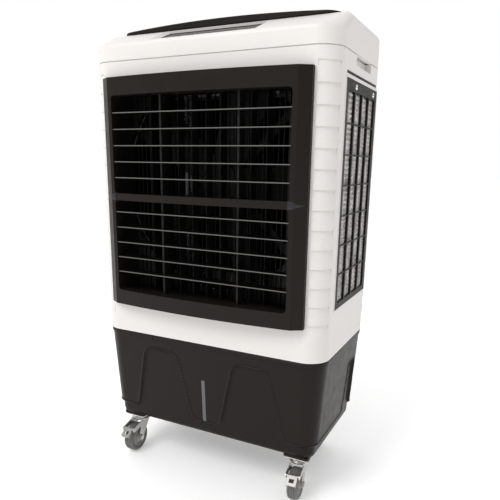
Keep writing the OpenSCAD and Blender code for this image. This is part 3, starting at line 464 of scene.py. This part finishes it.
def corrugated_pad(name, node, axis, body):
    """Wavy sheets side by side, their flutes running through the pad along axis (0 is X, 1 is Y)."""
    low, high = [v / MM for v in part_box(node)]
    along = 1 - axis
    pitch, wave, thick = 9.6, 10.5, 0.9
    count = int((high[along] - low[along]) / pitch)
    pitch = (high[along] - low[along]) / count
    verts, faces = [], []
    z = np.arange(low.z, high.z, wave / 6)
    depth_low, depth_high = low[axis] + 0.2, high[axis] - 0.2
    for i in range(count):
        slant = 1.0 if i % 2 else -0.35
        mid = low[along] + (i + 0.5) * pitch
        sheets = []
        for d in (depth_low, depth_high):
            phase = 2 * math.pi * (z - low.z + slant * (d - depth_low)) / wave
            a = mid + np.sin(phase) * (pitch / 2 - thick / 2 - 0.05)
            for side in (-thick / 2, thick / 2):
                p = np.zeros((len(z), 3))
                p[:, axis] = d
                p[:, along] = a + side
                p[:, 2] = z
                sheets.append(p)
        base, n = len(verts), len(z)
        verts += [tuple(q * MM) for p in (sheets[0], sheets[1], sheets[3], sheets[2]) for q in p]
        for k in range(4):
            s, t = base + k * n, base + ((k + 1) % 4) * n
            faces += [(s + j, s + j + 1, t + j + 1, t + j) for j in range(n - 1)]
        faces += [tuple(base + k * n for k in range(4)),
                  tuple(base + k * n + n - 1 for k in (3, 2, 1, 0))]
    obj = mesh_object(name, verts, faces, MATS["pad_paper"], body, smooth=False)
    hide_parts(node)


corrugated_pad("left_pad_paper", "left_pad", 0, "left_pad_panel")
corrugated_pad("right_pad_paper", "right_pad", 0, "right_pad_panel")
corrugated_pad("rear_pad_paper", "rear_pad", 1, "rear_pad_panel")


# Wheels

WHEEL_R = 37.5
WHEEL_HW = 13.0
CORE_R = 24.0


def wheel(corner):
    joint = JOINTS[corner + "_roll"]
    place = place_at(joint["pos_m"], joint["axis"])
    body = "wheel_" + corner

    def turned(name, profile, mat, segments=72):
        verts, faces = revolve([(r * MM, h * MM) for r, h in profile], place, segments)
        return mesh_object(name + "_" + corner, verts, faces, MATS[mat], body)

    tread = []
    for g in (-6.0, 0.0, 6.0):
        tread += [(WHEEL_R - 0.1 * abs(g) / 6, g - 1.3), (WHEEL_R - 1.6, g - 0.7),
                  (WHEEL_R - 1.6, g + 0.7), (WHEEL_R - 0.1 * abs(g) / 6, g + 1.3)]
    near = [(CORE_R, 9.0), (CORE_R + 0.8, WHEEL_HW - 1.2), (CORE_R + 2.0, WHEEL_HW - 0.4),
            (CORE_R + 4.0, WHEEL_HW - 0.3), (CORE_R + 4.6, WHEEL_HW - 1.1),
            (CORE_R + 5.2, WHEEL_HW - 1.1), (CORE_R + 5.8, WHEEL_HW), (WHEEL_R - 4.5, WHEEL_HW),
            (WHEEL_R - 2.0, WHEEL_HW - 1.3), (WHEEL_R - 0.7, WHEEL_HW - 3.6)]
    tyre = turned("tyre", [(r, -h) for r, h in near] + tread + near[::-1], "caster_rubber")
    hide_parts("wheel_" + corner)
    half = [(10.0, 12.4), (12.0, 12.4), (12.8, 11.2), (13.4, 8.2), (19.5, 7.4), (20.6, 10.6),
            (21.4, 11.2), (CORE_R, 11.2)]
    core = turned("wheel_core", half + [(r, -h) for r, h in half[::-1]], "wheel_grey", 64)
    half = [(4.1, 14.4), (6.2, 14.4), (6.6, 13.9), (7.0, 13.0), (9.2, 13.0), (9.9, 13.6), (10.0, 12.0)]
    boss = turned("wheel_boss", half + [(r, -h) for r, h in half[::-1]], "hub", 48)


for corner in CORNERS:
    wheel(corner)


# Captive screws in the headers of the pad panels

def screw_head(name, origin, out, body):
    """Pan head standing on the panel's face, its slot a black bar of painted shade; origin and out in
    metres.
    """
    place = place_at(origin, out)
    profile = [(0.001, 0.0), (6.4, 0.0), (6.4, 1.4), (5.8, 2.9), (3.9, 3.9), (0.001, 4.1)]
    verts, faces = revolve([(r * MM, h * MM) for r, h in profile], place, 32)
    obj = mesh_object(name, verts, faces, MATS["screw_steel"], body)
    # painted shade: the slot is a black bar through the head, not a recess
    bar = [(-5.2, -0.5), (5.2, -0.5), (5.2, 0.5), (-5.2, 0.5)]
    verts = [place @ (Vector((x, y, h)) * MM) for h in (2.4, 4.15) for x, y in bar]
    faces = quads(2, 4) + [(3, 2, 1, 0), (4, 5, 6, 7)]
    slot = mesh_object(name + "_slot", verts, faces, MATS["inner_black"], body, smooth=False)


SCREW_SINK = 2.9 * MM    # the header's face lies this far inside the panel's border
SCREW_DROP = 11 * MM     # below the panel's upper edge

for side, sign in (("left", -1), ("right", 1)):
    low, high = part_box(side + "_grille")
    face = low.x if sign < 0 else high.x
    for k, along in enumerate((-48, 94)):
        at = (face - sign * SCREW_SINK, (low.y + high.y) / 2 + along * MM, high.z - SCREW_DROP)
        screw_head("%s_panel_screw_%d" % (side, k + 1), at, (sign, 0, 0), side + "_pad_panel")
low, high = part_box("rear_grille")
for k, along in enumerate((-140, 140)):
    at = (along * MM, high.y - SCREW_SINK, high.z - SCREW_DROP)
    screw_head("rear_panel_screw_%d" % (k + 1), at, (0, 1, 0), "rear_pad_panel")


# Rounded plates, for the black bosses over the casters and the control panel's trim

def plate(name, half_w, half_d, radius, low, high, place, mat, body="cabinet", hole=0.0,
          edge=0.5):
    """Rounded plate with softened upper edges; a hole leaves a frame that is hole wide."""
    def ring(w, d, r, z):
        pts = rounded([(w, -d, r), (w, d, r), (-w, d, r), (-w, -d, r)])
        return [place @ (Vector((x, y, z)) * MM) for x, y in pts]

    rings = [ring(half_w, half_d, radius, low), ring(half_w, half_d, radius, high - edge),
             ring(half_w - edge, half_d - edge, max(radius - edge, 0.3), high)]
    if hole:
        w, d, r = half_w - hole, half_d - hole, max(radius - hole, 0.6)
        rings += [ring(w + edge, d + edge, r + edge, high), ring(w, d, r, high - edge),
                  ring(w, d, r, low)]
    n = len(rings[0])
    verts = [v for row in rings for v in row]
    faces = quads(len(rings), n)
    if hole:
        last = (len(rings) - 1) * n
        faces += [(last + c, last + (c + 1) % n, (c + 1) % n, c) for c in range(n)]
    else:
        faces += [tuple(range(n - 1, -1, -1)), tuple(range((len(rings) - 1) * n, len(rings) * n))]
    obj = mesh_object(name, verts, faces, MATS[mat], body)


BOSS_HW = 31.6
for corner in CORNERS:
    at = Vector(JOINTS[corner + "_swivel"]["pos_m"])
    plate("caster_boss_" + corner, BOSS_HW, BOSS_HW, 6.5, 4.4, TANK_Z0 - at.z / MM + 0.2,
          Matrix.Translation(at), "brown_plastic", edge=0.1)

SLOPE_RISE, SLOPE_RUN = 37.0, 87.0
LID_EDGE_Z = 1031.0
PANEL_DROP = 6.0    # the panel's face lies this far below the slope
ON_SLOPE = (Matrix.Translation(Vector((0.0, C_LOW.y, LID_EDGE_Z)) * MM) @
            Matrix.Rotation(math.atan2(SLOPE_RISE, SLOPE_RUN), 4, "X"))


def on_panel(x, up_slope):
    return ON_SLOPE @ Matrix.Translation(Vector((x, up_slope, -PANEL_DROP)) * MM)


plate("panel_trim", 122.4, 37.4, 2.0, -0.2, 1.0, on_panel(-9.0, 50.0), "black_plastic",
      hole=3.0)
plate("display_lens", 35.5, 13.5, 5.0, -0.6, 0.5, on_panel(22.0, 46.0), "display")


# Pointed ends of the bar between the two outlets, lying on the bezel's border

DIVIDER_Z = 693.0


def divider_tip(name, sign):
    """Sections from the opening's edge to the point: distance from the middle, half height, how
    far the bezel stands proud there, and how far the tip stands off it."""
    sections = [(219.0, 8.0, 26.2, 1.1), (226.0, 7.6, 25.7, 1.2), (232.0, 5.2, 25.0, 1.3),
                (241.0, 2.6, 19.4, 1.0), (251.0, 0.3, 13.1, 0.2)]
    verts = []
    for x, half, proud, off in sections:
        front = C_LOW.y - proud
        for y, dz in ((front + 1.5, half), (front, half), (front - off, half * 0.45),
                      (front - off, -half * 0.45), (front, -half), (front + 1.5, -half)):
            verts.append((sign * x * MM, y * MM, (DIVIDER_Z + dz) * MM))
    n = 6
    last = (len(sections) - 1) * n
    faces = quads(len(sections), n) + [tuple(range(n - 1, -1, -1)), tuple(range(last, last + n))]
    if sign < 0:
        faces = [f[::-1] for f in faces]
    obj = mesh_object(name, verts, faces, MATS["divider_tip"], "cabinet")


divider_tip("divider_tip_right", 1)
divider_tip("divider_tip_left", -1)


# Rolled lip round the mouth of the fan duct

def duct_lip():
    low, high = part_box("fan")
    centre = (low + high) / 2
    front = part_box("fan_shroud")[0].y
    place = place_at((centre.x, front + 1.0 * MM, centre.z), (0, 1, 0))
    duct_r, bead_r, sides = 250.6, 2.4, 10
    profile = [(duct_r + bead_r * math.cos(a), bead_r * math.sin(a))
               for a in [2 * math.pi * k / sides for k in range(sides)]]
    verts, faces = revolve([(r * MM, h * MM) for r, h in profile], place, 160)
    mesh_object("duct_lip", verts, faces, MATS["display"], "cabinet")


duct_lip()


# Dust nets behind the pads

NET = 0.8


def dust_net(side, node, axis, sign):
    low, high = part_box(node)
    a, b = Vector(low), Vector(high)
    inner = a[axis] if sign > 0 else b[axis]
    a[axis], b[axis] = sorted((inner, inner - sign * NET * MM))
    net = slab(side + "_dust_net", a, b, MATS["dust_net"], side + "_pad_panel")


dust_net("left", "left_pad", 0, -1)
dust_net("right", "right_pad", 0, 1)
dust_net("rear", "rear_pad", 1, 1)


# Painted shadow: dark strips on the floor of the grooves over the side panels

GROOVE_Z = (951.3, 956.7)
GROOVE_DEPTH = 2.5
GROOVE_FRONT, GROOVE_REAR = 121.0, 114.0    # from the side panel's middle
SHADOW_STRIP = 0.8


def groove_painted_shadow(side, sign):
    low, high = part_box(side + "_grille")
    middle = (low.y + high.y) / 2 / MM
    face = C_HIGH.x if sign > 0 else C_LOW.x
    x = sorted((face - sign * GROOVE_DEPTH, face - sign * (GROOVE_DEPTH - SHADOW_STRIP)))
    y = (middle - GROOVE_FRONT, middle + GROOVE_REAR)
    # a black strip that paints the shade inside the groove
    shadow_strip = slab(side + "_groove_painted_shadow", (x[0] * MM, y[0] * MM, GROOVE_Z[0] * MM),
                (x[1] * MM, y[1] * MM, GROOVE_Z[1] * MM), MATS["black_plastic"], "cabinet")


groove_painted_shadow("left", -1)
groove_painted_shadow("right", 1)


# Stage, light and camera

def area(name, place, target, size, power):
    data = bpy.data.lights.new(name, "AREA")
    data.shape = "RECTANGLE"
    data.size, data.size_y = size
    data.energy = power
    obj = bpy.data.objects.new(name, data)
    obj.location = place
    obj.rotation_mode = "QUATERNION"
    obj.rotation_quaternion = (Vector(target) - Vector(place)).to_track_quat("-Z", "Y")
    bpy.context.scene.collection.objects.link(obj)


def floor():
    size = 30.0
    data = bpy.data.meshes.new("floor")
    data.from_pydata([(-size, -size, 0), (size, -size, 0), (size, size, 0), (-size, size, 0)], [],
                     [(0, 1, 2, 3)])
    mat, _, bsdf = new_material("floor_mat")
    bsdf.inputs["Base Color"].default_value = (0.97, 0.97, 0.97, 1)
    bsdf.inputs["Emission Color"].default_value = (1, 1, 1, 1)
    bsdf.inputs["Emission Strength"].default_value = 0.24
    bsdf.inputs["Roughness"].default_value = 0.9
    data.materials.append(mat)
    obj = bpy.data.objects.new("floor", data)
    bpy.context.scene.collection.objects.link(obj)


def camera():
    """The camera that was fitted to the photograph."""
    place = (0.6263, -1.1745, 0.7754)
    yaw, pitch, roll = -0.458, -0.242, 0.016
    sensor, lens = 36.0, 37.81728
    ahead = Vector((math.sin(yaw) * math.cos(pitch), math.cos(yaw) * math.cos(pitch), math.sin(pitch)))
    level = Vector((math.cos(yaw), -math.sin(yaw), 0))
    above = level.cross(ahead)
    right = level * math.cos(roll) + above * math.sin(roll)
    up = above * math.cos(roll) - level * math.sin(roll)
    data = bpy.data.cameras.new("camera")
    data.sensor_width = sensor
    data.lens = lens
    data.shift_x, data.shift_y = -0.002, 0.085
    data.clip_start, data.clip_end = 0.01, 60.0
    obj = bpy.data.objects.new("camera", data)
    turn = Matrix((right, up, -ahead)).transposed().to_4x4()
    obj.matrix_world = Matrix.Translation(place) @ turn
    bpy.context.scene.collection.objects.link(obj)
    bpy.context.scene.camera = obj


def world():
    """White behind the cooler and to its left, falling off to the right and in front of it."""
    made = bpy.data.worlds.new("studio")
    made.use_nodes = True
    tree = made.node_tree
    back = tree.nodes["Background"]
    split = tree.nodes.new("ShaderNodeSeparateXYZ")
    link(tree, tree.nodes.new("ShaderNodeTexCoord").outputs["Generated"], split.inputs[0])
    across = remap(tree, split.outputs["X"], 1.0, 0.66, 0.05, 0.9)
    along = remap(tree, split.outputs["Y"], 0.66, 1.0, -0.7, 0.1)
    product = tree.nodes.new("ShaderNodeMath")
    product.operation = "MULTIPLY"
    link(tree, across, product.inputs[0])
    link(tree, along, product.inputs[1])
    link(tree, product.outputs["Value"], back.inputs["Color"])
    back.inputs["Strength"].default_value = 1.0
    bpy.context.scene.world = made
    bpy.context.scene.view_settings.view_transform = "Standard"


floor()
world()
camera()
area("key", (-0.9, -2.6, 3.2), (0, 0, 0.7), (1.6, 1.6), 60)
